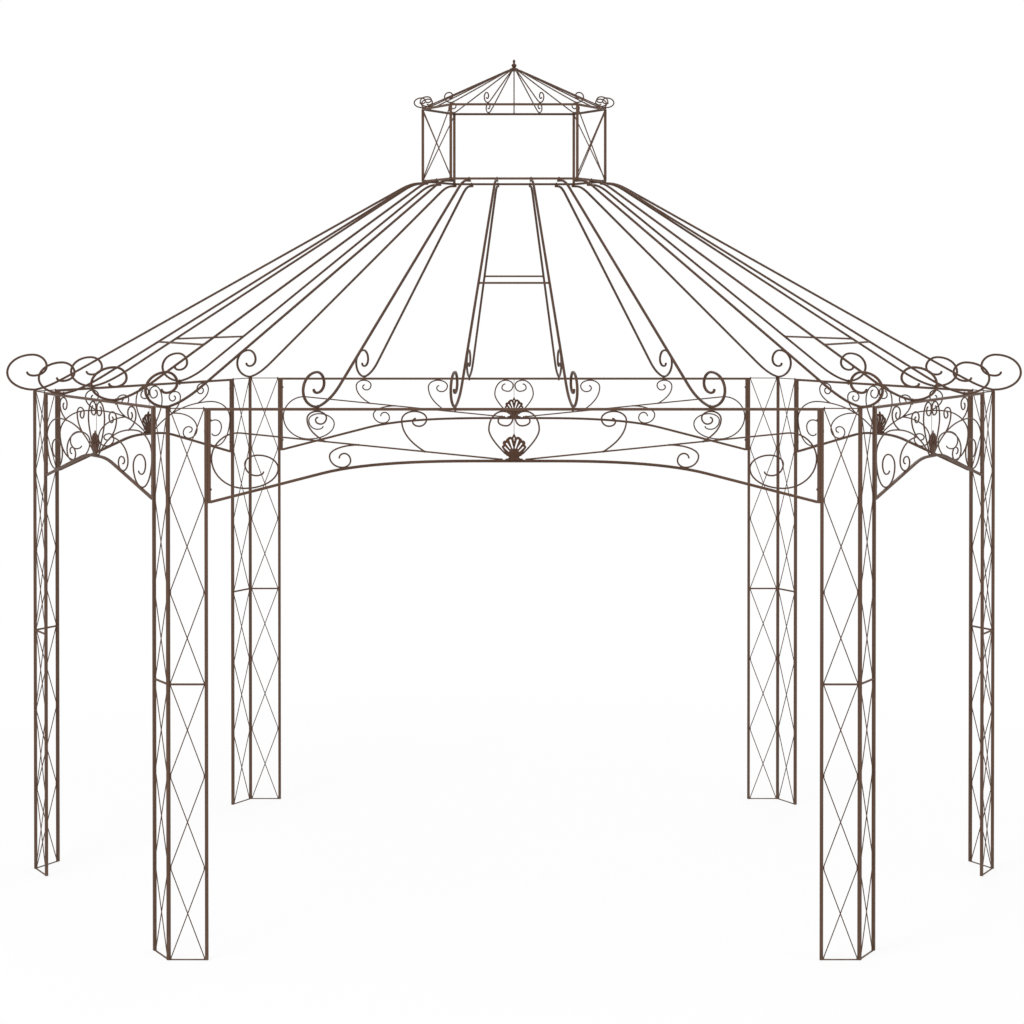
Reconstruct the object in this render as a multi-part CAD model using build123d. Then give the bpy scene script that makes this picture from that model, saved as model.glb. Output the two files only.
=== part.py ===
"""Wrought-iron garden pavilion: lattice legs, scrolled arches, a roof of scroll-ended ribs, a lantern.

The plan is a stretched hexagon with all corners at 120 degrees. Millimetres, +Z up, the front at -Y,
the origin on the ground at the middle of the plan.
"""

from build123d import *
import os
from math import cos, hypot, radians, sin, sqrt

# Plan and height
front_span = 2500
side_span = 1500
post_height = 2000

# Legs: an angle of two lattice panels that share the corner upright
leg_width = 138
upright_size = 12
leg_sill_height = 4
leg_rail_height = 7
leg_head_height = 4
leg_bar_depth = 6
lattice_wire = 4
cells_per_half = 3
weld_sink = 1

# Arch panels between the legs
end_bar_width = 11
head_bar_height = 10
panel_depth = 10
arch_bar_height = 10
arch_bar_depth = 10
arch_end_drop = 340
front_crown_drop = 192
side_crown_drop = 223
front_crown_flat = 150
side_crown_flat = 45
front_crown_bend = 520
side_crown_bend = 112
scroll_wire = 6
tie_wire = 2
tie_lap = 12

# Scrolls of the arch panels
front_volute_width = 241
front_volute_height = 200
side_volute_width = 192
side_volute_height = 208
front_stem_drop = 91
side_stem_drop = 99
front_stem_foot = 45
side_stem_foot = 25
front_upcurl_width = 90
front_upcurl_height = 54
front_second_width = 70
front_second_height = 46
side_upcurl_width = 81
side_upcurl_height = 42
side_upcurl_drop = 30
side_second_width = 85
side_second_height = 48
front_downcurl_width = 76
side_downcurl_width = 102
heart_half_width = 91
heart_height = 138
heart_foot = 31
heart_foot_rise = 21
large_chords = 3
small_chords = 2

# Cast shell on the crown of each arch, in front of the wires
shell_width = 89
shell_height = 95
shell_thickness = 8

# Roof ribs
rib_size = 9
rib_width = 12
rib_flat = 50
rib_seat = 10
heel_run = 120
heel_rise = 46
corner_scroll_width = 163
corner_scroll_height = 146
rib_scroll_width = 140
rib_scroll_height = 125
ladder_foot_half = 212
single_foot = 708
ladder_rung_size = 8

# Lantern
lantern_ring_height = 2868
lantern_front = 512
lantern_width = 760
lantern_depth = 556
lantern_bar = 9
lantern_post = 11
lantern_height = 291
lantern_wire = 5
lantern_ladder_half = 69
lantern_single = 182
crown_height = 157
crown_wire = 6
crown_scroll_width = 46
crown_scroll_height = 40
crown_front_rib = 107
crown_heel_run = 30
crown_heel_rise = 10
crown_flat = 20
collar_radius = 18
collar_height = 12
collar_sides = 8

# Finial
finial_height = 38
finial_ball_radius = 6
finial_bulb_radius = 11
finial_neck_radius = 4

# Shares of the scroll shapes: points where a curl runs level or upright in turn, outermost first
front_volute_shares = [
    (0.06, 0.5), (0.5, 0.04), (0, -0.5), (-0.5, -0.14), (-0.2, 0.1), (0, -0.06), (-0.17, -0.27),
    (-0.28, -0.2)]
side_volute_shares = [
    (-0.31, 0.5), (0.5, 0.09), (-0.03, -0.5), (-0.5, -0.15), (-0.1, 0.08), (0.16, -0.08), (-0.06, -0.27),
    (-0.21, -0.22)]
side_stem_bow_share = 0.35
upcurl_shares = [(0.5, -0.1), (0, 0.5), (-0.5, 0), (-0.2, -0.5), (0.06, -0.2), (-0.06, 0.02)]
front_downcurl_shares = [(0.5, 0), (-0.1, -0.5), (-0.5, -0.2), (-0.2, 0.12), (0.04, -0.09)]
side_downcurl_shares = [
    (0.5, -0.17), (-0.05, -0.5), (-0.5, -0.27), (-0.16, -0.06), (0.14, -0.17), (-0.05, -0.28)]
heart_shares = [(1, -0.465), (0.45, 0), (0.05, -0.17), (0.31, -0.38), (0.63, -0.26), (0.46, -0.13)]
heart_bow_share = 0.76
rib_scroll_shares = [(0, 0), (0.67, 0.49), (0.02, 1), (-0.34, 0.67), (0, 0.4), (0.16, 0.5)]
heel_shares = [(1, 1), (0.45, 0.3)]
front_upcurl_place_shares = (0.326, 0.644)
side_upcurl_place_shares = (0.3, 0.638)
front_downcurl_place_share = 0.568
side_downcurl_place_share = 0.485
branch_lead_share = 0.93
branch_bow_share = 0.45
front_downcurl_lead_share = 0.88
side_downcurl_lead_share = 1.26
front_ramp_share = 0.3
side_ramp_share = 0.14
ladder_foot_shares = (0.355, 0.755)
ladder_head_shares = (0.5, 0.92)
front_rung_share = 0.492005
back_rung_share = 0.526445
side_rung_share = 0.196802
crown_side_shares = (0.78,)
middle_share = 0.5
shell_outline_shares = [
    (0.37, 0), (0.21, 0.1), (0.33, 0.17), (0.34, 0.23), (0.5, 0.485), (0.435, 0.575), (0.46, 0.65),
    (0.42, 0.72), (0.335, 0.735), (0.265, 0.81), (0.18, 0.875), (0.095, 0.86), (0.055, 0.92), (0, 1)]
shell_slot_shares = [
    [(0.11, 0.775), (0.195, 0.75), (0.08, 0.425), (0.025, 0.425)],
    [(0.275, 0.645), (0.33, 0.62), (0.18, 0.41), (0.13, 0.41)],
    [(0.365, 0.5), (0.405, 0.47), (0.22, 0.3), (0.19, 0.335)],
]

half_front = front_span / 2
half_width = half_front + side_span / 2
half_depth = side_span * sqrt(3) / 2
corners = {
    "front_left": (-half_front, -half_depth),
    "front_right": (half_front, -half_depth),
    "right": (half_width, 0),
    "back_right": (half_front, half_depth),
    "back_left": (-half_front, half_depth),
    "left": (-half_width, 0),
}
faces = {
    "front": ("front_left", "front_right"),
    "front_right": ("front_right", "right"),
    "back_right": ("right", "back_right"),
    "back": ("back_right", "back_left"),
    "back_left": ("back_left", "left"),
    "front_left": ("left", "front_left"),
}
lantern_corners = {
    "front_left": (-lantern_front / 2, -lantern_depth / 2),
    "front_right": (lantern_front / 2, -lantern_depth / 2),
    "right": (lantern_width / 2, 0),
    "back_right": (lantern_front / 2, lantern_depth / 2),
    "back_left": (-lantern_front / 2, lantern_depth / 2),
    "left": (-lantern_width / 2, 0),
}


# Plane geometry
def between(start, end, share):
    """Point that lies a share of the way from start to end."""
    return tuple(a + (b - a) * share for a, b in zip(start, end))


def heading(start, end):
    """Unit vector from start to end."""
    length = hypot(end[0] - start[0], end[1] - start[1])
    return ((end[0] - start[0]) / length, (end[1] - start[1]) / length)


def polygon(points):
    """Flat face with straight edges through the points."""
    return Face(Wire.make_polygon([Vector(*p) for p in points], close=True))


def rectangle(low, high):
    """Flat face between two opposite corners."""
    return polygon([low, (high[0], low[1]), high, (low[0], high[1])])


def ribbon(path, width):
    """Flat face of a bar of one width that follows a bent line, mitred at its bends."""
    sides = ([], [])
    for i, here in enumerate(path):
        into = heading(path[max(i - 1, 0)], path[max(i, 1)])
        out = heading(path[min(i, len(path) - 2)], path[min(i + 1, len(path) - 1)])
        mid = (into[0] + out[0], into[1] + out[1])
        reach = width / (mid[0] ** 2 + mid[1] ** 2)
        for side, sign in zip(sides, (1, -1)):
            side.append((here[0] - sign * mid[1] * reach, here[1] + sign * mid[0] * reach))
    return polygon(sides[0] + sides[1][::-1])


def scroll(extremes, level_first, chords):
    """Bent line of quarter ellipses through points where it runs level and upright in turn."""
    path = [extremes[0]]
    level = level_first
    for (x0, y0), (x1, y1) in zip(extremes, extremes[1:]):
        for step in range(1, chords + 1):
            turn = radians(90 * step / chords)
            if level:
                path.append((x0 + (x1 - x0) * sin(turn), y1 + (y0 - y1) * cos(turn)))
            else:
                path.append((x1 + (x0 - x1) * cos(turn), y0 + (y1 - y0) * sin(turn)))
        level = not level
    return path


def bow(start, control, end):
    """Bent line of one quadratic curve from start, without its end point."""
    path = []
    for step in range(large_chords):
        t = step / large_chords
        path.append(between(between(start, control, t), between(control, end, t), t))
    return path


def placed(shares, centre, width, height):
    """Points given as shares of a width and a height about a centre."""
    return [(centre[0] + x * width, centre[1] + y * height) for x, y in shares]


def mirrored(path):
    """The path on the other side of the panel's middle."""
    return [(-x, y) for x, y in path]


def slab(flat, depth):
    """Bars of a flat face, as thick as depth, half to each side of their plane."""
    return extrude(flat, depth / 2, both=True)


def union(flats):
    """One flat shape from faces that cross."""
    return Sketch() + flats


# Planes of the object
def face_plane(face):
    """Plane of one side: X along it as seen from outside, Y up, Z outwards, origin below its middle."""
    left, right = (corners[name] for name in faces[face])
    middle = between(left, right, middle_share)
    along = heading(left, right)
    return Plane(origin=(*middle, 0), x_dir=(*along, 0), z_dir=(along[1], -along[0], 0))


def rib_plane(head, foot, level):
    """Upright plane of a rib: X outwards from its head to its foot, Y up, origin below its head."""
    along = heading(head, foot)
    return Plane(origin=(*head, level), x_dir=(*along, 0), z_dir=(along[1], -along[0], 0))


def span_of(face):
    """Length of one side between corner uprights."""
    left, right = (corners[name] for name in faces[face])
    return hypot(right[0] - left[0], right[1] - left[1])


def from_long_side(face, shares):
    """Shares of a short side's length, which are given from its corner on a long side."""
    if faces[face][0] in ("left", "right"):
        return [1 - share for share in reversed(shares)]
    return shares


# Legs
def corner_upright(corner):
    """Square upright that stands in the corner, turned to face outwards along the bisector."""
    names = list(corners)
    i = names.index(corner)
    before, after = corners[names[i - 1]], corners[names[(i + 1) % len(names)]]
    here = corners[corner]
    beside = heading_point(here, before), heading_point(here, after)
    inward = heading(here, between(*beside, middle_share))
    plane = Plane(origin=(*here, 0), x_dir=(*inward, 0), z_dir=(0, 0, 1))
    half = upright_size / 2
    return plane * extrude(rectangle((-half, -half), (half, half)), post_height)


def heading_point(here, other):
    """Point one unit from here towards another corner."""
    along = heading(here, other)
    return (here[0] + along[0], here[1] + along[1])


def leg_panel(face, end):
    """Lattice panel at the left end (-1) or right end (1) of a side, without the corner upright."""
    corner_at = end * span_of(face) / 2
    outer_at = corner_at - end * leg_width
    half = upright_size / 2
    outer = slab(rectangle((outer_at - half, 0), (outer_at + half, post_height)), upright_size)
    middle = post_height / 2
    levels = [
        (0, leg_sill_height),
        (middle - leg_rail_height / 2, middle + leg_rail_height / 2),
        (post_height - leg_head_height, post_height),
    ]
    bars = [slab(rectangle((corner_at, low), (outer_at, high)), leg_bar_depth) for low, high in levels]
    inner_faces = (corner_at - end * (half - weld_sink), outer_at + end * (half - weld_sink))
    wires = []
    for low, high in ((leg_sill_height / 2, middle), (middle, post_height - leg_head_height / 2)):
        for first in (0, 1):
            zigzag = []
            for k in range(cells_per_half + 1):
                zigzag.append((inner_faces[(k + first) % 2], low + (high - low) * k / cells_per_half))
            wires.append(ribbon(zigzag, lattice_wire))
    return face_plane(face) * (outer + bars + slab(union(wires), lattice_wire))


# Arch panels
def arch_shape(face):
    """Measures that differ between the long sides and the short ones."""
    if face in ("front", "back"):
        return {
            "crown": (front_crown_drop, front_crown_flat, front_crown_bend, front_ramp_share),
            "volute": (front_volute_shares, front_volute_width, front_volute_height),
            "stem": (front_stem_foot, front_stem_drop, None),
            "upcurls": [
                (front_upcurl_place_shares[0], front_upcurl_width, front_upcurl_height, 0),
                (front_upcurl_place_shares[1], front_second_width, front_second_height, 0),
            ],
            "downcurl": (front_downcurl_place_share, front_downcurl_width, front_downcurl_lead_share),
            "curl": front_downcurl_shares,
        }
    return {
        "crown": (side_crown_drop, side_crown_flat, side_crown_bend, side_ramp_share),
        "volute": (side_volute_shares, side_volute_width, side_volute_height),
        "stem": (side_stem_foot, side_stem_drop, side_stem_bow_share),
        "upcurls": [
            (side_upcurl_place_shares[0], side_upcurl_width, side_upcurl_height, side_upcurl_drop),
            (side_upcurl_place_shares[1], side_second_width, side_second_height, 0),
        ],
        "downcurl": (side_downcurl_place_share, side_downcurl_width, side_downcurl_lead_share),
        "curl": side_downcurl_shares,
    }


def arch_line(half_clear, shape):
    """Middle line of half an arch bar, down from the top: a level crown, a bow, a straight ramp."""
    drop, flat, bend, ramp_share = shape["crown"]
    control = (bend, -drop)
    end = (half_clear - end_bar_width, -arch_end_drop)
    ramp = between(control, end, ramp_share)
    return bow((flat, -drop), control, ramp) + [ramp, end]


def height_on(path, u):
    """Height of a bent line at a distance along its plane."""
    for start, end in zip(path, path[1:]):
        if start[0] <= u <= end[0]:
            return between(start, end, (u - start[0]) / (end[0] - start[0]))[1]
    return path[0][1]


def half_scrolls(half_clear, shape):
    """Scroll lines of the right half of an arch panel, in the panel's plane, down from the top."""
    head = -head_bar_height - scroll_wire / 2 + weld_sink
    edge = half_clear - end_bar_width - scroll_wire / 2 + weld_sink
    arch = arch_line(half_clear, shape)
    arch_top = arch[0][1] + arch_bar_height / 2
    foot_at, stem_drop, stem_bow_share = shape["stem"]
    shares, width, height = shape["volute"]
    centre = (edge - width / 2, -stem_drop - height / 2)
    volute = scroll(placed(shares, centre, width, height), True, large_chords)
    stem = [(foot_at, arch_top)]
    if stem_bow_share:
        control = (foot_at + stem_bow_share * (volute[0][0] - foot_at), volute[0][1])
        stem = bow(stem[0], control, volute[0])
    lines = [stem + volute]

    for place_share, width, height, drop in shape["upcurls"]:
        centre = (place_share * half_clear, head - drop - height / 2)
        curl = scroll(placed(upcurl_shares, centre, width, height), False, small_chords)
        start_at = curl[0][0] - branch_lead_share * width
        start = (start_at, height_on(lines[0], start_at))
        control = (curl[0][0], start[1] + branch_bow_share * (curl[0][1] - start[1]))
        lines.append(bow(start, control, curl[0]) + curl)

    place_share, width, lead_share = shape["downcurl"]
    down_at = place_share * half_clear
    start_at = down_at - lead_share * width
    start = (start_at, height_on(lines[0], start_at))
    floor = height_on(arch, down_at) + arch_bar_height / 2 + scroll_wire / 2 - weld_sink
    height = start[1] - floor
    curl = placed(shape["curl"], (down_at, floor + height / 2), width, height)
    lines.append(scroll([start] + curl, True, large_chords))

    heart_start = (heart_foot, arch_top + heart_foot_rise)
    heart = scroll(placed(heart_shares, (0, head), heart_half_width, heart_height), False, small_chords)
    control = (heart[0][0], heart_start[1] + heart_bow_share * (heart[0][1] - heart_start[1]))
    lines.append(bow(heart_start, control, heart[0]) + heart)
    return lines


def arch_panel(face):
    """Arched panel that hangs between two legs: frame, arch bar and scrollwork in one welded piece."""
    shape = arch_shape(face)
    half_clear = span_of(face) / 2 - leg_width - upright_size / 2
    frame = [rectangle((-half_clear, -head_bar_height), (half_clear, 0))]
    for side in (-half_clear, half_clear - end_bar_width):
        frame.append(rectangle((side, -arch_end_drop - arch_bar_height / 2), (side + end_bar_width, 0)))
    right = arch_line(half_clear, shape)
    arch = ribbon(mirrored(right)[::-1] + right, arch_bar_height)
    lines = half_scrolls(half_clear, shape)
    wires = [ribbon(path, scroll_wire) for line in lines for path in (line, mirrored(line))]
    tie_end = right[0][1] + arch_bar_height / 2 + shell_height - tie_lap
    tie = rectangle((-tie_wire / 2, tie_end), (tie_wire / 2, -head_bar_height + weld_sink))
    bars = slab(union(frame), panel_depth) + slab(arch, arch_bar_depth)
    bars = bars + slab(union(wires), scroll_wire) + slab(tie, tie_wire)
    return face_plane(face) * (Pos(0, post_height, 0) * bars)


def arch_shell(face):
    """Cast openwork fan that stands on the crown of an arch, with its back against the wires."""
    foot = post_height - arch_shape(face)["crown"][0] + arch_bar_height / 2
    half = placed(shell_outline_shares, (0, 0), shell_width, shell_height)
    slots = []
    for shares in shell_slot_shares:
        slot = placed(shares, (0, 0), shell_width, shell_height)
        slots += [polygon(slot), polygon(mirrored(slot))]
    fan = polygon(half + mirrored(half[:-1])[::-1]) - slots
    return face_plane(face) * (Pos(0, foot, scroll_wire / 2) * extrude(fan, shell_thickness))


# Roof ribs
def rib_path(run, rise, flat, heel):
    """Line of a rib from its level head to its seat: outwards along X, up along Y, with its foot at zero."""
    path = [(-lantern_bar, rise), (flat, rise)]
    path += [(run - x * heel[0], y * heel[1]) for x, y in heel_shares]
    return path + [(run - rib_seat / 2, 0)]


def foot_scroll(run, width, height, chords):
    """Line of the scroll that a rib ends in, from the outer edge of its seat."""
    return scroll(placed(rib_scroll_shares, (run + rib_seat / 2, 0), width, height), True, chords)


def roof_rib(head, foot, scroll_size):
    """One rib, from under the lantern's ring down to the top of a post or beam."""
    run = hypot(foot[0] - head[0], foot[1] - head[1])
    rise = lantern_ring_height - post_height - rib_size
    path = rib_path(run, rise, rib_flat, (heel_run, heel_rise)) + foot_scroll(run, *scroll_size, large_chords)
    return rib_plane(head, foot, post_height + rib_size / 2) * slab(ribbon(path, rib_size), rib_width)


def corner_rib(corner):
    """Rib over one corner of the plan."""
    at_end = corner in ("left", "right")
    size = (corner_scroll_width, corner_scroll_height) if at_end else (rib_scroll_width, rib_scroll_height)
    return roof_rib(lantern_corners[corner], corners[corner], size)


def roof_ladder(heads, feet, rung_share):
    """Two ribs joined by a level rung, which lies a share of the way up their slope."""
    size = (rib_scroll_width, rib_scroll_height)
    ladder = roof_rib(heads[0], feet[0], size) + roof_rib(heads[1], feet[1], size)
    rise = lantern_ring_height - post_height - rib_size
    rung_rise = heel_rise + rung_share * (rise - heel_rise)
    ends = []
    for head, foot in zip(heads, feet):
        run = hypot(foot[0] - head[0], foot[1] - head[1])
        in_from_foot = heel_run + rung_share * (run - heel_run - rib_flat)
        ends.append(between(foot, head, in_from_foot / run))
    along = heading(*ends)
    length = hypot(ends[1][0] - ends[0][0], ends[1][1] - ends[0][1])
    level = post_height + rib_size / 2 + rung_rise
    plane = Plane(origin=(*ends[0], level), x_dir=(*along, 0), z_dir=(along[1], -along[0], 0))
    half = ladder_rung_size / 2
    return ladder + plane * slab(rectangle((0, -half), (length, half)), ladder_rung_size)


def face_ladder(face):
    """Ladder of ribs over the middle of one side."""
    left, right = (corners[name] for name in faces[face])
    head_left, head_right = (lantern_corners[name] for name in faces[face])
    if face in ("front", "back"):
        feet_shares = [middle_share + sign * ladder_foot_half / front_span for sign in (-1, 1)]
        head_shares = [middle_share + sign * lantern_ladder_half / lantern_front for sign in (-1, 1)]
        rung_share = front_rung_share if face == "front" else back_rung_share
    else:
        feet_shares = from_long_side(face, ladder_foot_shares)
        head_shares = from_long_side(face, ladder_head_shares)
        rung_share = side_rung_share
    feet = [between(left, right, share) for share in feet_shares]
    heads = [between(head_left, head_right, share) for share in head_shares]
    return roof_ladder(heads, feet, rung_share)


def single_rib(face, side):
    """Plain rib between the ladder and a corner of the front or back: -1 for the left, 1 for the right."""
    left, right = (corners[name] for name in faces[face])
    head_left, head_right = (lantern_corners[name] for name in faces[face])
    foot = between(left, right, middle_share + side * single_foot / front_span)
    head = between(head_left, head_right, middle_share + side * lantern_single / lantern_front)
    return roof_rib(head, foot, (rib_scroll_width, rib_scroll_height))


# Lantern
def lantern_ring(level):
    """Six-sided ring of square bar with its underside at a level."""
    outline = polygon(list(lantern_corners.values()))
    outer = offset(outline, lantern_bar / 2, kind=Kind.INTERSECTION)
    inner = offset(outline, -lantern_bar / 2, kind=Kind.INTERSECTION)
    return Pos(0, 0, level) * extrude(outer - inner, lantern_bar)


def lantern_side(names):
    """Three posts of one end of the lantern, with crossed wires in the two bays between them."""
    base = lantern_ring_height + lantern_bar
    half = lantern_post / 2
    posts = []
    for name in names:
        inward = heading(lantern_corners[name], (0, 0))
        plane = Plane(origin=(*lantern_corners[name], base), x_dir=(*inward, 0), z_dir=(0, 0, 1))
        posts.append(plane * extrude(rectangle((-half, -half), (half, half)), lantern_height))
    braces = []
    for first, second in zip(names, names[1:]):
        start, end = lantern_corners[first], lantern_corners[second]
        along = heading(start, end)
        length = hypot(end[0] - start[0], end[1] - start[1])
        plane = Plane(origin=(*start, base), x_dir=(*along, 0), z_dir=(along[1], -along[0], 0))
        inset = lantern_wire / 2
        rows = (inset, lantern_height - inset)
        wires = [ribbon([(0, low), (length, high)], lantern_wire) for low, high in (rows, rows[::-1])]
        clear = rectangle((0, 0), (length, lantern_height))
        braces.append(plane * slab(union(wires) & clear, lantern_wire))
    return posts[0] + posts[1:] + braces


def crown_rib(foot, scrolled):
    """Thin rib of the lantern's roof, from the collar down to the ring."""
    run = hypot(*foot)
    path = rib_path(run, crown_height, crown_flat, (crown_heel_run, crown_heel_rise))
    if scrolled:
        path += foot_scroll(run, crown_scroll_width, crown_scroll_height, small_chords)
    else:
        path.append((run + rib_seat / 2, 0))
    return rib_plane((0, 0), foot, crown_top() - crown_height) * slab(ribbon(path, crown_wire), crown_wire)


def crown_top():
    """Height of the middle line of the crown's ribs at the collar."""
    return lantern_ring_height + 2 * lantern_bar + lantern_height + crown_wire / 2 + crown_height


def lantern_crown():
    """Roof of the lantern: sixteen thin ribs welded to a collar."""
    disc = extrude(RegularPolygon(collar_radius, collar_sides), collar_height)
    ribs = [crown_rib(corner, True) for corner in lantern_corners.values()]
    for face, names in faces.items():
        left, right = (lantern_corners[name] for name in names)
        if face in ("front", "back"):
            ribs.append(crown_rib(between(left, right, middle_share), False))
            reach_share = crown_front_rib / lantern_front
            shares = (middle_share - reach_share, middle_share + reach_share)
        else:
            shares = from_long_side(face, crown_side_shares)
        ribs += [crown_rib(between(left, right, share), True) for share in shares]
    return Pos(0, 0, crown_top() - collar_height / 2) * disc + ribs


def finial():
    """Small turned finial that stands on the collar."""
    base = crown_top() + collar_height / 2
    ball_at = finial_height - finial_ball_radius
    profile = Polyline(
        (0, 0),
        (finial_bulb_radius, 0),
        (finial_bulb_radius, finial_ball_radius),
        (finial_neck_radius, finial_bulb_radius),
        (finial_neck_radius, ball_at - finial_ball_radius),
        (finial_ball_radius, ball_at),
        (0, finial_height),
        close=True,
    )
    return Pos(0, 0, base) * revolve(Plane.XZ * make_face(profile), Axis.Z)


def pavilion():
    """Every piece by name."""
    pieces = {}
    names = list(corners)
    face_names = list(faces)
    for i, corner in enumerate(names):
        upright = corner_upright(corner)
        pieces[f"leg_{corner}_main_panel"] = leg_panel(face_names[i], -1) + upright
        pieces[f"leg_{corner}_return_panel"] = leg_panel(face_names[i - 1], 1) - upright
    for face in faces:
        pieces[f"arch_{face}"] = arch_panel(face)
        pieces[f"roof_ladder_{face}"] = face_ladder(face)
    for corner in corners:
        pieces[f"corner_rib_{corner}"] = corner_rib(corner)
    for face in ("front", "back"):
        for side, word in ((-1, "left"), (1, "right")):
            pieces[f"single_rib_{face}_{word}"] = single_rib(face, side)
    pieces["arch_shells"] = Compound([arch_shell(face) for face in faces])
    pieces["lantern_base_ring"] = lantern_ring(lantern_ring_height)
    pieces["lantern_left_side"] = lantern_side(("front_left", "left", "back_left"))
    pieces["lantern_right_side"] = lantern_side(("back_right", "right", "front_right"))
    pieces["lantern_top_ring"] = lantern_ring(lantern_ring_height + lantern_bar + lantern_height)
    pieces["lantern_crown"] = lantern_crown()
    pieces["finial"] = finial()
    return pieces


os.makedirs("parts", exist_ok=True)
for name, piece in pavilion().items():
    export_step(piece, f"parts/{name}.step")
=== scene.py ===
from math import atan2, cos, hypot, pi, radians, sin, sqrt

import bmesh
import bpy
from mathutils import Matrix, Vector


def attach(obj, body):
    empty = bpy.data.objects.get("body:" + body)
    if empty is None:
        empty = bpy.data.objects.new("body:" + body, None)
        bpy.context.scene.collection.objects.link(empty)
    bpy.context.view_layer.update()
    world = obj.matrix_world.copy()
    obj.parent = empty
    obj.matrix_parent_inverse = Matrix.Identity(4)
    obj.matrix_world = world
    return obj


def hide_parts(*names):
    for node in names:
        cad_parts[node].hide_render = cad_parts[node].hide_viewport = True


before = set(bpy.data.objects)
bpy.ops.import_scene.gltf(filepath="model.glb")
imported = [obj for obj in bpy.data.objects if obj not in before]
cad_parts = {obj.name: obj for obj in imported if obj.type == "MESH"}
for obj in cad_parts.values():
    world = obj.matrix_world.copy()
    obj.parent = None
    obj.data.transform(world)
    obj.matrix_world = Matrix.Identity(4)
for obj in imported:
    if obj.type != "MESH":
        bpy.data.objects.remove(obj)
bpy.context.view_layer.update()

# Measures of the solids, in metres. rib_width, shell_thickness, crown_radius and heart_bow are closer to the
# photograph here than in the solids.
front_span, side_span, post_height = 2.5, 1.5, 2.0
leg_width, upright_size = 0.138, 0.012
leg_sill_height, leg_rail_height, leg_head_height, leg_bar_depth = 0.004, 0.007, 0.004, 0.006
lattice_wire, cells_per_half = 0.004, 3
end_bar_width, head_bar_height, panel_depth = 0.011, 0.010, 0.010
arch_bar_height, arch_bar_depth, arch_end_drop = 0.010, 0.010, 0.340
scroll_wire, tie_wire = 0.006, 0.002
heart_half_width, heart_height, heart_foot, heart_foot_rise = 0.091, 0.138, 0.031, 0.021
shell_width, shell_height, shell_thickness = 0.089, 0.095, 0.005
rib_size, rib_width, rib_flat, rib_seat = 0.009, 0.0098, 0.050, 0.010
heel_run, heel_rise = 0.120, 0.046
corner_scroll, rib_scroll = (0.163, 0.146), (0.140, 0.125)
ladder_foot_half, single_foot, ladder_rung_size = 0.212, 0.708, 0.008
rung_rises = {"front": 0.446, "back": 0.474, "side": 0.206}
lantern_ring_height, lantern_front, lantern_width, lantern_depth = 2.868, 0.512, 0.760, 0.556
lantern_bar, lantern_post, lantern_height, lantern_wire = 0.009, 0.011, 0.291, 0.005
lantern_ladder_half, lantern_single = 0.069, 0.182
crown_height, crown_wire, crown_scroll = 0.157, 0.006, (0.046, 0.040)
crown_front_rib, crown_heel_run, crown_heel_rise, crown_flat = 0.107, 0.030, 0.010, 0.020
collar_radius, collar_height = 0.018, 0.012

# Shapes of the scrolls as shares: points where a curl runs level or upright in turn
arch_kinds = {
    "long": {
        "crown": (0.192, 0.150, 0.520, 0.3),
        "volute": ([(0.06, 0.5), (0.5, 0.04), (0, -0.5), (-0.5, -0.14), (-0.2, 0.1), (0, -0.06),
                    (-0.17, -0.27), (-0.28, -0.2)], 0.241, 0.200),
        "stem": (0.045, 0.091, None),
        "upcurls": [(0.326, 0.090, 0.054, 0.0), (0.644, 0.070, 0.046, 0.0)],
        "downcurl": (0.568, 0.076, 0.88),
        "curl": [(0.5, 0), (-0.1, -0.5), (-0.5, -0.2), (-0.2, 0.12), (0.04, -0.09)],
    },
    "short": {
        "crown": (0.223, 0.045, 0.112, 0.14),
        "volute": ([(-0.31, 0.5), (0.5, 0.09), (-0.03, -0.5), (-0.5, -0.15), (-0.1, 0.08), (0.16, -0.08),
                    (-0.06, -0.27), (-0.21, -0.22)], 0.192, 0.208),
        "stem": (0.025, 0.099, 0.35),
        "upcurls": [(0.3, 0.081, 0.042, 0.030), (0.638, 0.085, 0.048, 0.0)],
        "downcurl": (0.485, 0.102, 1.26),
        "curl": [(0.5, -0.17), (-0.05, -0.5), (-0.5, -0.27), (-0.16, -0.06), (0.14, -0.17), (-0.05, -0.28)],
    },
}
upcurl_shares = [(0.5, -0.1), (0, 0.5), (-0.5, 0), (-0.2, -0.5), (0.06, -0.2), (-0.06, 0.02)]
heart_shares = [(1, -0.465), (0.45, 0), (0.05, -0.17), (0.31, -0.38), (0.63, -0.26), (0.46, -0.13)]
rib_scroll_shares = [(0, 0), (0.67, 0.49), (0.02, 1), (-0.34, 0.67), (0, 0.4), (0.16, 0.5)]
heel_shares = [(1, 1), (0.45, 0.3)]
branch_lead, branch_bow, heart_bow = 0.93, 0.45, 0.66
ladder_foot_shares, ladder_head_shares, crown_side_shares = (0.355, 0.755), (0.5, 0.92), (0.78,)
# Outline of half a shell with its sharp points marked, and its slots as two round ends with their radii
shell_outline = [
    (0.37, 0, True), (0.27, 0.045, False), (0.21, 0.1, False), (0.27, 0.14, False), (0.335, 0.18, False),
    (0.34, 0.23, False), (0.42, 0.36, False), (0.485, 0.45, False), (0.5, 0.485, False),
    (0.48, 0.53, False), (0.435, 0.565, True), (0.462, 0.61, False), (0.46, 0.66, False),
    (0.42, 0.715, False), (0.37, 0.735, False), (0.335, 0.73, True), (0.315, 0.78, False),
    (0.265, 0.825, False), (0.18, 0.875, False), (0.13, 0.875, False), (0.095, 0.855, True),
    (0.06, 0.9, False), (0.03, 0.965, False), (0, 1, True),
]
shell_slots = [
    ((0.0, 0.0785, 0.0019), (0.0, 0.0690, 0.0008)),
    ((0.0133, 0.0702, 0.0034), (0.0047, 0.0425, 0.0021)),
    ((0.0264, 0.0582, 0.0028), (0.0141, 0.0405, 0.0019)),
    ((0.0332, 0.0452, 0.0024), (0.0190, 0.0310, 0.0018)),
]
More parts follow.
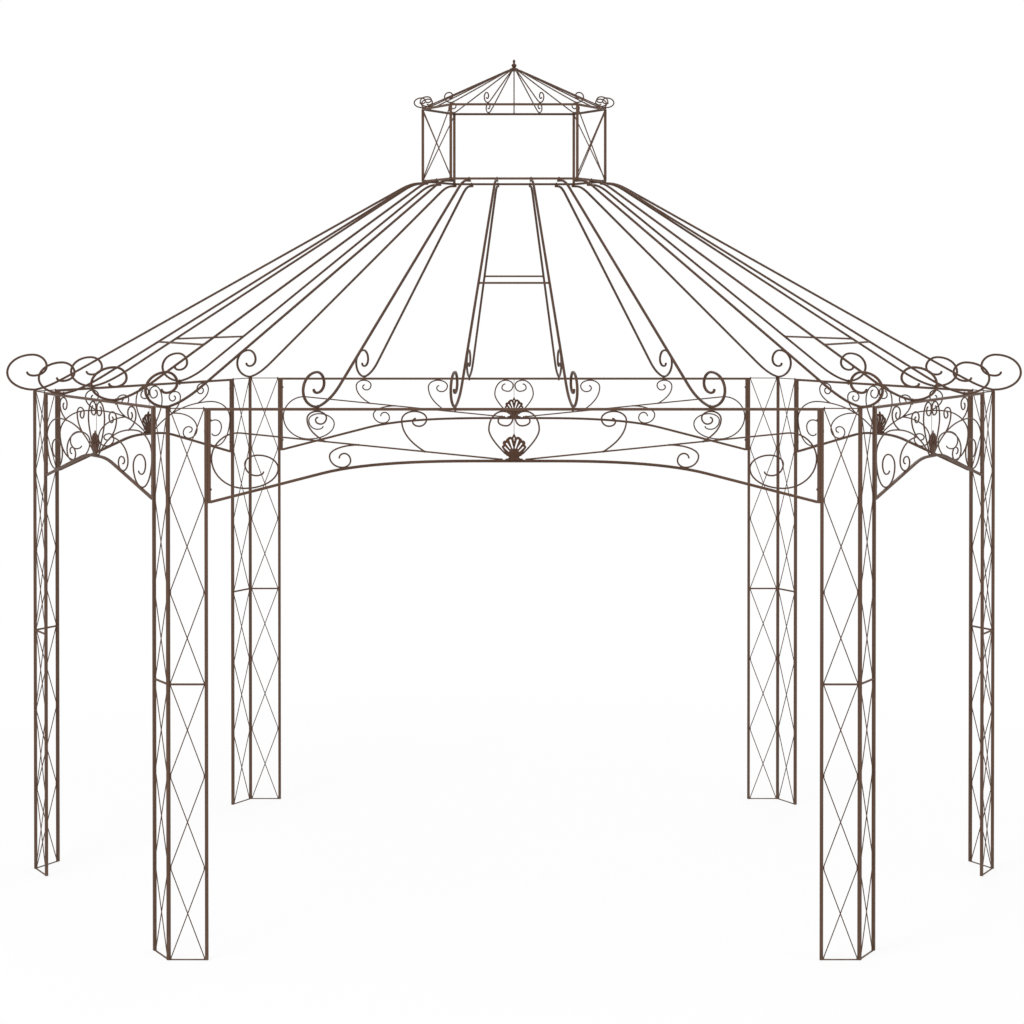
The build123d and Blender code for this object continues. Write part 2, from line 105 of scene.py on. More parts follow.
shell_ridges = [
    [(0.0, 0.0360), (0.0, 0.0620), (0.0045, 0.0740), (0.0070, 0.0805)],
    [(0.0090, 0.0360), (0.0200, 0.0640), (0.0230, 0.0720)],
    [(0.0150, 0.0330), (0.0300, 0.0530), (0.0370, 0.0610)],
    [(0.0190, 0.0250), (0.0330, 0.0380), (0.0410, 0.0450)],
]
shell_beads = [(0.0, 0.0880), (0.0155, 0.0790), (0.0365, 0.0635), (0.0415, 0.0465), (0.0270, 0.0190)]
# Turned forms as radius and height: the collar's as shares, the others in metres
shell_dome = [
    (0.0155, -0.0004), (0.0156, 0.0004), (0.0148, 0.0013), (0.0126, 0.0021), (0.0090, 0.0028),
    (0.0046, 0.0032), (0.0006, 0.0033),
]
collar_shares = [(0.9, -0.5), (1, -0.4), (1, 0.36), (0.93, 0.46), (0.7, 0.5)]
finial_profile = [
    (0.0100, 0.0000), (0.0108, 0.0008), (0.0108, 0.0022), (0.0072, 0.0034), (0.0062, 0.0046),
    (0.0080, 0.0062), (0.0101, 0.0088), (0.0109, 0.0118), (0.0104, 0.0146), (0.0084, 0.0172),
    (0.0056, 0.0192), (0.0040, 0.0206), (0.0036, 0.0222), (0.0044, 0.0236), (0.0056, 0.0260),
    (0.0059, 0.0284), (0.0052, 0.0312), (0.0037, 0.0340), (0.0022, 0.0362), (0.0009, 0.0378),
]
# Fasteners as shares of their radius, also as radius and height
washer_shares = [(1.35, 0), (1.45, 0.1), (1.45, 0.25), (1.35, 0.3)]
bolt_head_shares = [(1, 0.3), (0.97, 0.5), (0.82, 0.78), (0.55, 0.97), (0.2, 1.05)]
nut_shares = [(0.88, 0), (1, 0.12), (1, 0.78), (0.85, 0.9)]

# Details of the finish, in metres: an edge is the radius of a bar's edges, a tip the length of a rounded end,
# a bend the reach of a rounded corner, and a bead the radius and half height of a blob of weld metal
upright_edge, upright_tip, leg_bar_edge = 0.0014, 0.0015, 0.0008
leg_bar_bead, leg_bar_bead_floor = (0.003, 0.0042), 0.0033
lattice_gap, lattice_shift, lattice_bend, lattice_tip = 0.0002, 0.0014, 0.012, 0.001
lattice_bead, lattice_bead_inset, lattice_bead_floor = (0.0032, 0.006), 0.002, 0.0064
crossing_bead = (0.0026, 0.003)
panel_edge, panel_tip, arch_edge, end_bar_proud = 0.0011, 0.001, 0.0012, 0.0003
end_bolt_drops, end_bolt_radius, end_bar_bead = (0.045, 0.295), 0.0038, (0.004, 0.0048)
scroll_sink, weld_reach, scroll_tip, scroll_bead, tie_lap = 0.0005, 0.001, 0.0016, (0.0042, 0.0032), 0.012
shell_edge, relief_sink, shell_bead = 0.0011, 0.0006, (0.0027, 0.0016)
ridge_radii, ridge_bend, ridge_tip, dome_height = (0.0016, 0.0014), 0.006, 0.0012, 0.0245
foot_roll_half, foot_roll_radius, foot_roll_sink, foot_roll_tip = 0.030, 0.0022, 0.0005, 0.0016
rib_edge, rib_bend, rib_tip, rung_bead = 0.0032, 0.05, 0.003, (0.0052, 0.003)
head_bolt_radius, foot_bolt_radius, foot_bolt_sink, foot_nut_radius = 0.0027, 0.0030, 0.0006, 0.0041
foot_bead, foot_bead_drop, foot_bead_offset = (0.003, 0.005), 0.0035, 0.0037
ring_edge, lantern_post_edge, lantern_post_bead = 0.001, 0.0012, (0.0072, 0.0022)
brace_inset, brace_shift, brace_bead = 0.003, 0.0016, (0.0032, 0.0036)
crown_radius, crown_start, crown_bend, crown_tip = 0.0027, 0.006, 0.02, 0.001
crown_bead, crown_bead_drop = (0.003, 0.005), 0.0015
turned_sides = 32
sharp_angle = radians(42)

half_front = front_span / 2
half_width = half_front + side_span / 2
half_depth = side_span * sqrt(3) / 2


def six_corners(front, width, depth):
    """Corners of a stretched six-sided plan by name."""
    return {
        "front_left": (-front, -depth), "front_right": (front, -depth), "right": (width, 0),
        "back_right": (front, depth), "back_left": (-front, depth), "left": (-width, 0),
    }


corners = six_corners(half_front, half_width, half_depth)
lantern_corners = six_corners(lantern_front / 2, lantern_width / 2, lantern_depth / 2)
faces = {
    "front": ("front_left", "front_right"), "front_right": ("front_right", "right"),
    "back_right": ("right", "back_right"), "back": ("back_right", "back_left"),
    "back_left": ("back_left", "left"), "front_left": ("left", "front_left"),
}
corner_names, face_names = list(corners), list(faces)
long_faces = ("front", "back")


# Plane geometry
def between(start, end, share):
    """Point that lies a share of the way from start to end."""
    return tuple(a + (b - a) * share for a, b in zip(start, end))


def distance(start, end):
    return hypot(end[0] - start[0], end[1] - start[1])


def heading(start, end):
    """Unit vector from start to end."""
    length = distance(start, end)
    return ((end[0] - start[0]) / length, (end[1] - start[1]) / length)


def placed(shares, centre, width, height):
    """Points given as shares of a width and a height about a centre."""
    return [(centre[0] + x * width, centre[1] + y * height) for x, y in shares]


def mirrored(path):
    """The path on the other side of the middle."""
    return [(-x, y) for x, y in path]


def scroll(extremes, level_first, chords=10):
    """Smooth line of quarter ellipses through points where it runs level and upright in turn."""
    path = [extremes[0]]
    level = level_first
    for (x0, y0), (x1, y1) in zip(extremes, extremes[1:]):
        for step in range(1, chords + 1):
            turn = pi / 2 * step / chords
            if level:
                path.append((x0 + (x1 - x0) * sin(turn), y1 + (y0 - y1) * cos(turn)))
            else:
                path.append((x1 + (x0 - x1) * cos(turn), y0 + (y1 - y0) * sin(turn)))
        level = not level
    return path


def bow(start, control, end, steps=12):
    """Quadratic curve from start to end."""
    shares = [step / steps for step in range(steps + 1)]
    return [between(between(start, control, t), between(control, end, t), t) for t in shares]


def eased(path, reach):
    """Bent line with its corners rounded off, each over a reach or nearly half of a shorter stretch."""
    longest_share = 0.48
    out = [path[0]]
    for before, here, after in zip(path, path[1:], path[2:]):
        ends = []
        for other in (before, after):
            length = distance(here, other)
            ends.append(between(here, other, min(reach, longest_share * length) / length))
        out += bow(ends[0], here, ends[1], steps=8)
    return out + [path[-1]]


def turn_in(start, along, end, steps=10):
    """Cubic curve that leaves start along a direction and reaches end going straight down."""
    pull = 0.55
    across, drop = pull * (end[0] - start[0]), pull * (start[1] - end[1])
    first = (start[0] + along[0] * across, start[1] + along[1] * across)
    second = (end[0], end[1] + drop)
    path = []
    for step in range(steps + 1):
        t = step / steps
        a, b, c = between(start, first, t), between(first, second, t), between(second, end, t)
        path.append(between(between(a, b, t), between(b, c, t), t))
    return path


class Sheet:
    """Upright plane in space: u along it, v up it, w out of it."""

    def __init__(self, origin, along, level=0.0):
        self.origin = Vector((*origin, level))
        self.along = Vector((*along, 0)).normalized()
        self.up = Vector((0, 0, 1))
        self.out = self.along.cross(self.up)

    def at(self, u, v, w=0.0):
        return self.origin + self.along * u + self.up * v + self.out * w


def ends_of(face, plan):
    """Left and right corner of one side of a plan, as seen from outside."""
    return [plan[name] for name in faces[face]]


def face_sheet(face):
    """Plane of one side, with its origin on the ground below the middle."""
    left, right = ends_of(face, corners)
    return Sheet(between(left, right, 0.5), heading(left, right))


def span_of(face):
    return distance(*ends_of(face, corners))


def kind_of(face):
    return arch_kinds["long" if face in long_faces else "short"]


def from_long_side(face, shares):
    """Shares of a short side's length, which are given from its corner on a long side."""
    if faces[face][0] in ("left", "right"):
        return [1 - share for share in reversed(shares)]
    return list(shares)


# Meshes
def round_section(radius, sides=10):
    """Round wire."""
    return [(radius * cos(2 * pi * k / sides), radius * sin(2 * pi * k / sides)) for k in range(sides)]


def square_section(width, depth, edge):
    """Square bar with rounded edges."""
    points = []
    for sx, sy, start in ((1, 1, 0), (-1, 1, 90), (-1, -1, 180), (1, -1, 270)):
        for turn in (0, 45, 90):
            angle = radians(start + turn)
            x = sx * (width / 2 - edge) + edge * cos(angle)
            points.append((x, sy * (depth / 2 - edge) + edge * sin(angle)))
    return points


class Lump:
    """Mesh of one piece while it is built."""

    def __init__(self):
        self.points = []
        self.faces = []

    def skin(self, rings, closed=False):
        """Skin over a row of rings, with flat ends unless the row is closed."""
        size, count, base = len(rings[0]), len(rings), len(self.points)
        for ring in rings:
            self.points.extend(ring)
        for i in range(count if closed else count - 1):
            a, b = base + i * size, base + (i + 1) % count * size
            for k in range(size):
                m = (k + 1) % size
                self.faces.append((a + k, a + m, b + m, b + k))
        if not closed:
            self.faces.append(tuple(range(base, base + size))[::-1])
            self.faces.append(tuple(range(base + (count - 1) * size, base + count * size)))

    def sweep(self, sheet, path, section, shift=0.0, tip=0.0, closed=False):
        """Bar along a line in a sheet. shift moves it out of the sheet, tip rounds its two ends off."""
        count = len(path)
        rows = []
        for i, here in enumerate(path):
            before = path[i - 1] if i or closed else None
            after = path[(i + 1) % count] if i < count - 1 or closed else None
            into = heading(before, here) if before else heading(here, after)
            out = heading(here, after) if after else into
            mid = (into[0] + out[0], into[1] + out[1])
            mitre = 2 / (mid[0] ** 2 + mid[1] ** 2)
            rows.append((here, (-mid[1] * mitre, mid[0] * mitre), into if after is None else out))
        if tip and not closed:
            tip_rings = ((0.6, 0.8), (1.0, 0.4))
            for end, sign in ((0, -1), (-1, 1)):
                here, side, along = rows[end]
                for reach, size in tip_rings:
                    ahead = sign * tip * reach
                    further = (here[0] + along[0] * ahead, here[1] + along[1] * ahead)
                    row = (further, (side[0] * size, side[1] * size), along, size)
                    rows.insert(0 if end == 0 else len(rows), row)
        rings = []
        for row in rows:
            (u, v), side = row[:2]
            flat = row[3] if len(row) > 3 else 1
            rings.append([sheet.at(u + a * side[0], v + a * side[1], shift + b * flat) for a, b in section])
        self.skin(rings, closed)

    def lathe(self, base, axis, profile, sides):
        """Turned form round an axis: the profile is radius and height from the base."""
        axis = Vector(axis).normalized()
        first = axis.orthogonal().normalized()
        second = axis.cross(first)
        rings = []
        for radius, height in profile:
            ring = []
            for k in range(sides):
                turn = 2 * pi * k / sides
                ring.append(base + axis * height + (first * cos(turn) + second * sin(turn)) * radius)
            rings.append(ring)
        self.skin(rings)

    def bead(self, at, axis, radius, height):
        """Blob of weld metal."""
        rise = (-80, -45, 0, 45, 80)
        profile = [(radius * cos(radians(a)), height * sin(radians(a))) for a in rise]
        self.lathe(at, axis, profile, sides=8)

    def bolt(self, base, axis, radius):
        """Round-headed bolt on a washer."""
        for shares in (washer_shares, bolt_head_shares):
            self.lathe(base, axis, [(r * radius, h * radius) for r, h in shares], sides=16)

    def nut(self, base, axis, radius):
        """Hexagon nut."""
        self.lathe(base, axis, [(r * radius, h * radius) for r, h in nut_shares], sides=6)


def piece(name, lump, material, slot_name, *nodes):
    """Object of a finished mesh, which stands for CAD nodes and rides on the frame."""
    mesh = bpy.data.meshes.new(name)
    mesh.from_pydata([tuple(p) for p in lump.points], [], lump.faces)
    shape = bmesh.new()
    shape.from_mesh(mesh)
    bmesh.ops.recalc_face_normals(shape, faces=shape.faces)
    shape.to_mesh(mesh)
    shape.free()
    mesh.shade_smooth()
    mesh.set_sharp_from_angle(angle=sharp_angle)
    mesh.materials.append(material)
    obj = bpy.data.objects.new(name, mesh)
    bpy.context.scene.collection.objects.link(obj)
    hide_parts(*nodes)
    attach(obj, "root")


# Materials
def painted_metal(name, dark, mid, light, grain_scale, grain_height):
    """Satin paint on iron: cloudy tone, fine grain, rubbed edges, a little dust near the ground."""
    material = bpy.data.materials.new(name)
    material.use_nodes = True
    nodes, links = material.node_tree.nodes, material.node_tree.links
    shader = nodes["Principled BSDF"]
    shader.inputs["Metallic"].default_value = 0.0
    shader.inputs["Specular IOR Level"].default_value = 0.15
    place = nodes.new("ShaderNodeTexCoord")

    def noise(scale, detail, roughness=0.5):
        node = nodes.new("ShaderNodeTexNoise")
        node.inputs["Scale"].default_value = scale
        node.inputs["Detail"].default_value = detail
        node.inputs["Roughness"].default_value = roughness
        links.new(place.outputs["Object"], node.inputs["Vector"])
        return node.outputs["Fac"]

    def ramp(source, stops):
        node = nodes.new("ShaderNodeValToRGB")
        elements = node.color_ramp.elements
        while len(elements) < len(stops):
            elements.new(0.5)
        for element, (position, colour) in zip(elements, stops):
            element.position = position
            element.color = (*colour, 1)
        links.new(source, node.inputs["Fac"])
        return node.outputs["Color"]

    def mix(factor, first, second):
        node = nodes.new("ShaderNodeMix")
        node.data_type = "RGBA"
        node.blend_type = "MIX"
        if isinstance(factor, float):
            node.inputs["Factor"].default_value = factor
        else:
            links.new(factor, node.inputs["Factor"])
        for socket, value in ((node.inputs["A"], first), (node.inputs["B"], second)):
            if isinstance(value, tuple):
                socket.default_value = (*value, 1)
            else:
                links.new(value, socket)
        return node.outputs["Result"]

    def spread(source, low, high, to_low, to_high):
        node = nodes.new("ShaderNodeMapRange")
        for key, value in (("From Min", low), ("From Max", high), ("To Min", to_low), ("To Max", to_high)):
            node.inputs[key].default_value = value
        links.new(source, node.inputs["Value"])
        return node.outputs["Result"]

    cloud = noise(scale=7.0, detail=4.0)
    mottle = noise(scale=85.0, detail=5.0, roughness=0.6)
    grain = noise(grain_scale, detail=3.0, roughness=0.55)
    tone = ramp(cloud, [(0.3, dark), (0.52, mid), (0.75, light)])
    speckle = ramp(mottle, [(0.32, dark), (0.5, mid), (0.72, light)])
    colour = mix(0.45, tone, speckle)
    geometry = nodes.new("ShaderNodeNewGeometry")
    edge = spread(geometry.outputs["Pointiness"], low=0.52, high=0.60, to_low=0.0, to_high=0.35)
    rubbed_gain, rubbed_lift = 1.7, 0.006
    rubbed = tuple(min(1.0, rubbed_gain * v + rubbed_lift) for v in light)
    colour = mix(edge, colour, rubbed)
    split = nodes.new("ShaderNodeSeparateXYZ")
    links.new(place.outputs["Object"], split.inputs["Vector"])
    near_ground = spread(split.outputs["Z"], low=0.0, high=0.16, to_low=0.5, to_high=0.0)
    patches = spread(noise(scale=38.0, detail=4.0), low=0.4, high=0.65, to_low=0.0, to_high=1.0)
    dust = nodes.new("ShaderNodeMath")
    dust.operation = "MULTIPLY"
    links.new(near_ground, dust.inputs[0])
    links.new(patches, dust.inputs[1])
    dust_colour = (0.17, 0.125, 0.09)
    colour = mix(dust.outputs["Value"], colour, dust_colour)
    links.new(colour, shader.inputs["Base Color"])
    roughness = spread(mottle, low=0.3, high=0.7, to_low=0.42, to_high=0.62)
    links.new(roughness, shader.inputs["Roughness"])
    bump = nodes.new("ShaderNodeBump")
    bump.inputs["Strength"].default_value = 0.5
    bump.inputs["Distance"].default_value = grain_height
    links.new(grain, bump.inputs["Height"])
    links.new(bump.outputs["Normal"], shader.inputs["Normal"])
    return material


iron = painted_metal(
    "painted_iron", dark=(0.055, 0.028, 0.0175), mid=(0.074, 0.039, 0.025), light=(0.096, 0.053, 0.034),
    grain_scale=420.0, grain_height=0.0006)
casting = painted_metal(
    "painted_casting", dark=(0.052, 0.024, 0.014), mid=(0.074, 0.035, 0.021), light=(0.098, 0.048, 0.029),
    grain_scale=260.0, grain_height=0.0012)


# Legs
upright_section = square_section(upright_size, upright_size, upright_edge)


def upright_line(at):
    return [(at, upright_tip), (at, post_height - upright_tip)]


def leg_panel(lump, face, end):
    """Lattice panel at one end of a side: outer upright, three bars, two crossing zigzag wires a half."""
    sheet = face_sheet(face)
    corner_at = end * span_of(face) / 2
    outer_at = corner_at - end * leg_width
    half = upright_size / 2
    lump.sweep(sheet, upright_line(outer_at), upright_section, tip=upright_tip)
    middle = post_height / 2
    for level, height in (
        (leg_sill_height / 2, leg_sill_height),
        (middle, leg_rail_height),
        (post_height - leg_head_height / 2, leg_head_height),
    ):
        bar_section = square_section(height, leg_bar_depth, leg_bar_edge)
        lump.sweep(sheet, [(corner_at, level), (outer_at, level)], bar_section)
        for at in (corner_at - end * half, outer_at + end * half):
            lump.bead(sheet.at(at, max(level, leg_bar_bead_floor)), sheet.out, *leg_bar_bead)
    sides = (corner_at - end * (half + lattice_gap), outer_at + end * (half + lattice_gap))
    wire = round_section(lattice_wire / 2, sides=8)
    for low, high in ((leg_sill_height / 2, middle), (middle, post_height - leg_head_height / 2)):
        step = (high - low) / cells_per_half
        for first, shift in ((0, lattice_shift), (1, -lattice_shift)):
            zigzag = [(sides[(k + first) % 2], low + step * k) for k in range(cells_per_half + 1)]
            lump.sweep(sheet, eased(zigzag, lattice_bend), wire, shift, lattice_tip)
            for u, v in zigzag:
                inward = lattice_bead_inset if u == sides[0] else -lattice_bead_inset
                at = sheet.at(u - end * inward, max(v, lattice_bead_floor), shift)
                lump.bead(at, sheet.up, *lattice_bead)
        centre = (sides[0] + sides[1]) / 2
        for k in range(cells_per_half):
            lump.bead(sheet.at(centre, low + step * (k + 0.5)), sheet.out, *crossing_bead)


def corner_upright(lump, corner):
    """Square upright in the corner, turned to face along the bisector."""
    i = corner_names.index(corner)
    here = corners[corner]
    ways = [heading(here, corners[corner_names[j % len(corner_names)]]) for j in (i - 1, i + 1)]
    inward = (ways[0][0] + ways[1][0], ways[0][1] + ways[1][1])
    sheet = Sheet(here, inward)
    lump.sweep(sheet, upright_line(0), upright_section, tip=upright_tip)


for i, corner in enumerate(corner_names):
    main = Lump()
    corner_upright(main, corner)
    leg_panel(main, face_names[i], -1)
    piece(f"lattice_leg_{corner}_main", main, iron, "painted_iron", f"leg_{corner}_main_panel")
    other = Lump()
    leg_panel(other, face_names[i - 1], 1)
    piece(f"lattice_leg_{corner}_return", other, iron, "painted_iron", f"leg_{corner}_return_panel")


# Arch panels
def arch_line(half_clear, kind):
    """Middle line of half an arch bar, down from the top: a level crown, a bow, a straight ramp."""
    drop, flat, bend, ramp_share = kind["crown"]
    control = (bend, -drop)
    end = (half_clear - end_bar_width, -arch_end_drop)
    return bow((flat, -drop), control, between(control, end, ramp_share)) + [end]


def height_on(path, u):
    """Height of a line at a distance along its sheet."""
    for start, end in zip(path, path[1:]):
        if start[0] <= u <= end[0]:
            return between(start, end, (u - start[0]) / (end[0] - start[0]))[1]
    return path[0][1]


def half_scrolls(half_clear, kind):
    """Scroll lines of the right half of an arch panel, and the places where they are welded."""
    head = -head_bar_height - scroll_wire / 2 + scroll_sink
    edge = half_clear - end_bar_width - scroll_wire / 2 + scroll_sink
    arch = arch_line(half_clear, kind)
    arch_top = arch[0][1] + arch_bar_height / 2
    foot_at, stem_drop, stem_bow = kind["stem"]
    shares, width, height = kind["volute"]
    extremes = placed(shares, (edge - width / 2, -stem_drop - height / 2), width, height)
    foot, stem_end = (foot_at, arch_top + weld_reach), extremes[0]
    if stem_bow:
        control = (foot_at + stem_bow * (stem_end[0] - foot_at), stem_end[1])
        stem = bow(foot, control, stem_end, steps=20)
        lines = [stem[:-1] + scroll(extremes, True)]
    else:
        stem = [foot, stem_end]
        turn = turn_in(stem_end, heading(foot, stem_end), extremes[1])
        lines = [[foot] + turn + scroll(extremes[1:], False)[1:]]
    welds = [foot, (edge + weld_reach, extremes[1][1])]

    for place, wide, tall, drop in kind["upcurls"]:
        middle = (place * half_clear, head - drop - tall / 2)
        curl = scroll(placed(upcurl_shares, middle, wide, tall), False, chords=8)
        start_at = curl[0][0] - branch_lead * wide
        start = (start_at, height_on(stem, start_at))
        control = (curl[0][0], start[1] + branch_bow * (curl[0][1] - start[1]))
        lines.append(bow(start, control, curl[0])[:-1] + curl)
        welds.append(start)
        if not drop:
            welds.append((middle[0], head + weld_reach))

    place, wide, lead = kind["downcurl"]
    down_at = place * half_clear
    start = (down_at - lead * wide, height_on(stem, down_at - lead * wide))
    floor = height_on(arch, down_at) + arch_bar_height / 2 + scroll_wire / 2 - scroll_sink
    tall = start[1] - floor
    curl = placed(kind["curl"], (down_at, floor + tall / 2), wide, tall)
    lines.append(scroll([start] + curl, True))
    welds += [start, (curl[1][0], floor - weld_reach)]

    heart_start = (heart_foot, arch_top + heart_foot_rise)
    heart = scroll(placed(heart_shares, (0, head), heart_half_width, heart_height), False, chords=8)
    control = (heart[0][0], heart_start[1] + heart_bow * (heart[0][1] - heart_start[1]))
    lines.append(bow(heart_start, control, heart[0])[:-1] + heart)
    welds.append((heart_half_width * heart_shares[1][0], head + weld_reach))
    return lines, welds


def arch_panel(face):
    """Arched panel that hangs between two legs: frame, arch bar, scrollwork and the bolts to the legs."""
    lump = Lump()
    sheet = face_sheet(face)
    sheet.origin.z = post_height
    kind = kind_of(face)
    half_clear = span_of(face) / 2 - leg_width - upright_size / 2
    level = -head_bar_height / 2
    lump.sweep(sheet, [(-half_clear + panel_tip, level), (half_clear - panel_tip, level)],
               square_section(head_bar_height, panel_depth, panel_edge), tip=panel_tip)
    end_section = square_section(end_bar_width, panel_depth + end_bar_proud, panel_edge)
    for side in (-1, 1):
        at = side * (half_clear - end_bar_width / 2)
        ends = [(at, -arch_end_drop - arch_bar_height / 2 + panel_tip), (at, -panel_tip)]
        lump.sweep(sheet, ends, end_section, tip=panel_tip)
        inner_at = side * (half_clear - end_bar_width)
        for drop in end_bolt_drops:
            lump.bolt(sheet.at(inner_at, -drop), sheet.along * -side, end_bolt_radius)
        lump.bead(sheet.at(inner_at, -arch_end_drop), sheet.out, *end_bar_bead)
    right = arch_line(half_clear, kind)
    arch_section = square_section(arch_bar_height, arch_bar_depth, arch_edge)
    lump.sweep(sheet, mirrored(right)[::-1] + right, arch_section)
    wire = round_section(scroll_wire / 2)
    lines, welds = half_scrolls(half_clear, kind)
    for line in lines:
        for path in (line, mirrored(line)):
            lump.sweep(sheet, path, wire, tip=scroll_tip)
    for u, v in welds:
        for sign in (-1, 1):
            lump.bead(sheet.at(sign * u, v), sheet.out, *scroll_bead)
    tie_foot = right[0][1] + arch_bar_height / 2 + shell_height - tie_lap
    lump.sweep(sheet, [(0, tie_foot), (0, -head_bar_height)], round_section(tie_wire / 2, sides=8))
    piece(f"scrolled_arch_{face}", lump, iron, "painted_iron", f"arch_{face}")


def ring_of_slot(outer, inner):
    """Closed line round a slot with two round ends."""
    along = heading(inner[:2], outer[:2])
    start = atan2(along[1], along[0])
    steps = 8
    ring = []
    for (u, v, radius), turn in ((outer, 0.0), (inner, pi)):
        for k in range(steps + 1):
            angle = start + turn + pi * (k / steps - 0.5)
            ring.append((u + radius * cos(angle), v + radius * sin(angle)))
    return ring


def fan_plate():
    """Points and faces of the shell's openwork plate, with rounded edges, in its own plane.

    The plate is drawn larger and scaled back, because a curve's fill loses detail at its real size.
    """
    grow, weld_distance = 100, 0.0005
    curve = bpy.data.curves.new("fan", "CURVE")
    curve.dimensions, curve.fill_mode = "2D", "BOTH"
    curve.extrude, curve.bevel_depth = (shell_thickness / 2 - shell_edge) * grow, shell_edge * grow
    curve.bevel_resolution, curve.offset = 2, -shell_edge * grow
    right = [(u * shell_width, v * shell_height, sharp) for u, v, sharp in shell_outline]
    outline = right + [(-u, v, sharp) for u, v, sharp in right[-2::-1]]
    spline = curve.splines.new("BEZIER")
    spline.bezier_points.add(len(outline) - 1)
    for point, (u, v, sharp) in zip(spline.bezier_points, outline):
        point.co = (u * grow, v * grow, 0)
        point.handle_left_type = point.handle_right_type = "VECTOR" if sharp else "AUTO"
    spline.use_cyclic_u, spline.resolution_u = True, 4
    for outer, inner in shell_slots:
        for side in (1, -1) if outer[0] else (1,):
            ring = [(side * u, v) for u, v in ring_of_slot(outer, inner)]
            hole = curve.splines.new("POLY")
            hole.points.add(len(ring) - 1)
            for point, (u, v) in zip(hole.points, ring):
                point.co = (u * grow, v * grow, 0, 1)
            hole.use_cyclic_u = True
    obj = bpy.data.objects.new("fan", curve)
    bpy.context.scene.collection.objects.link(obj)
    depsgraph = bpy.context.evaluated_depsgraph_get()
    mesh = bpy.data.meshes.new_from_object(obj.evaluated_get(depsgraph))
    welded = bmesh.new()
    welded.from_mesh(mesh)
    bmesh.ops.remove_doubles(welded, verts=welded.verts, dist=weld_distance)
    welded.verts.index_update()
    points = [tuple(c / grow for c in vertex.co) for vertex in welded.verts]
    loops = [tuple(vertex.index for vertex in face.verts) for face in welded.faces]
    welded.free()
    bpy.data.objects.remove(obj)
    bpy.data.curves.remove(curve)
    bpy.data.meshes.remove(mesh)
    return points, loops


fan_points, fan_loops = fan_plate()


def shell(lump, face):
    """Cast fan shell on the crown of an arch: openwork plate, ridged petals, a domed boss at the root."""
    kind = kind_of(face)
    sheet = face_sheet(face)
    sheet.origin.z = post_height - kind["crown"][0] + arch_bar_height / 2
    middle = scroll_wire / 2 + shell_thickness / 2
    base = len(lump.points)
    lump.points += [sheet.at(u, v, middle + w) for u, v, w in fan_points]
    lump.faces += [tuple(base + i for i in loop) for loop in fan_loops]
    front = middle + shell_thickness / 2 - relief_sink
    ridge = [(ridge_radii[0] * x, ridge_radii[1] * y) for x, y in round_section(1, sides=8)]
    for line in shell_ridges:
        for path in (line, mirrored(line)):
            lump.sweep(sheet, eased(path, ridge_bend), ridge, front, ridge_tip)
    for u, v in shell_beads:
        for side in (1, -1) if u else (1,):
            lump.bead(sheet.at(side * u, v, front), sheet.out, *shell_bead)
    lump.lathe(sheet.at(0, dome_height, front), sheet.out, shell_dome, sides=28)
    foot_line = [(-foot_roll_half, foot_roll_radius), (foot_roll_half, foot_roll_radius)]
    lump.sweep(sheet, foot_line, round_section(foot_roll_radius), front - foot_roll_sink, foot_roll_tip)


for face in faces:
    arch_panel(face)
shells = Lump()
for face in faces:
    shell(shells, face)
piece("fan_shells", shells, casting, "painted_casting", "arch_shells")


# Roof ribs
rib_section = square_section(rib_size, rib_width, rib_edge)


def rib(lump, head, foot, scroll_size, bolted):
    """One rib, from under the lantern's ring down to the top of a post or beam, with its scroll."""
    run = distance(head, foot)
    rise = lantern_ring_height - post_height - rib_size
    sheet = Sheet(head, heading(head, foot), post_height + rib_size / 2)
    path = [(-lantern_bar, rise), (rib_flat, rise)]
    path += [(run - x * heel_run, y * heel_rise) for x, y in heel_shares]
    path = eased(path + [(run - rib_seat / 2, 0), (run, 0)], rib_bend)
    path += scroll(placed(rib_scroll_shares, (run + rib_seat / 2, 0), *scroll_size), True)
    lump.sweep(sheet, path, rib_section, tip=rib_tip)
    if bolted:
        lump.bolt(sheet.at(0, rise + rib_size / 2 + lantern_bar), sheet.up, head_bolt_radius)
        lump.bolt(sheet.at(run, rib_size / 2 - foot_bolt_sink), sheet.up, foot_bolt_radius)
        lump.nut(sheet.at(run, -rib_size / 2 - head_bar_height), -sheet.up, foot_nut_radius)
    else:
        for sign in (-1, 1):
            lump.bead(sheet.at(run, -foot_bead_drop, sign * foot_bead_offset), sheet.along, *foot_bead)
    return sheet, run, rise


for corner in corner_names:
    lump = Lump()
    size = corner_scroll if corner in ("left", "right") else rib_scroll
    rib(lump, lantern_corners[corner], corners[corner], size, False)
    piece(f"scrolled_rib_{corner}", lump, iron, "painted_iron", f"corner_rib_{corner}")

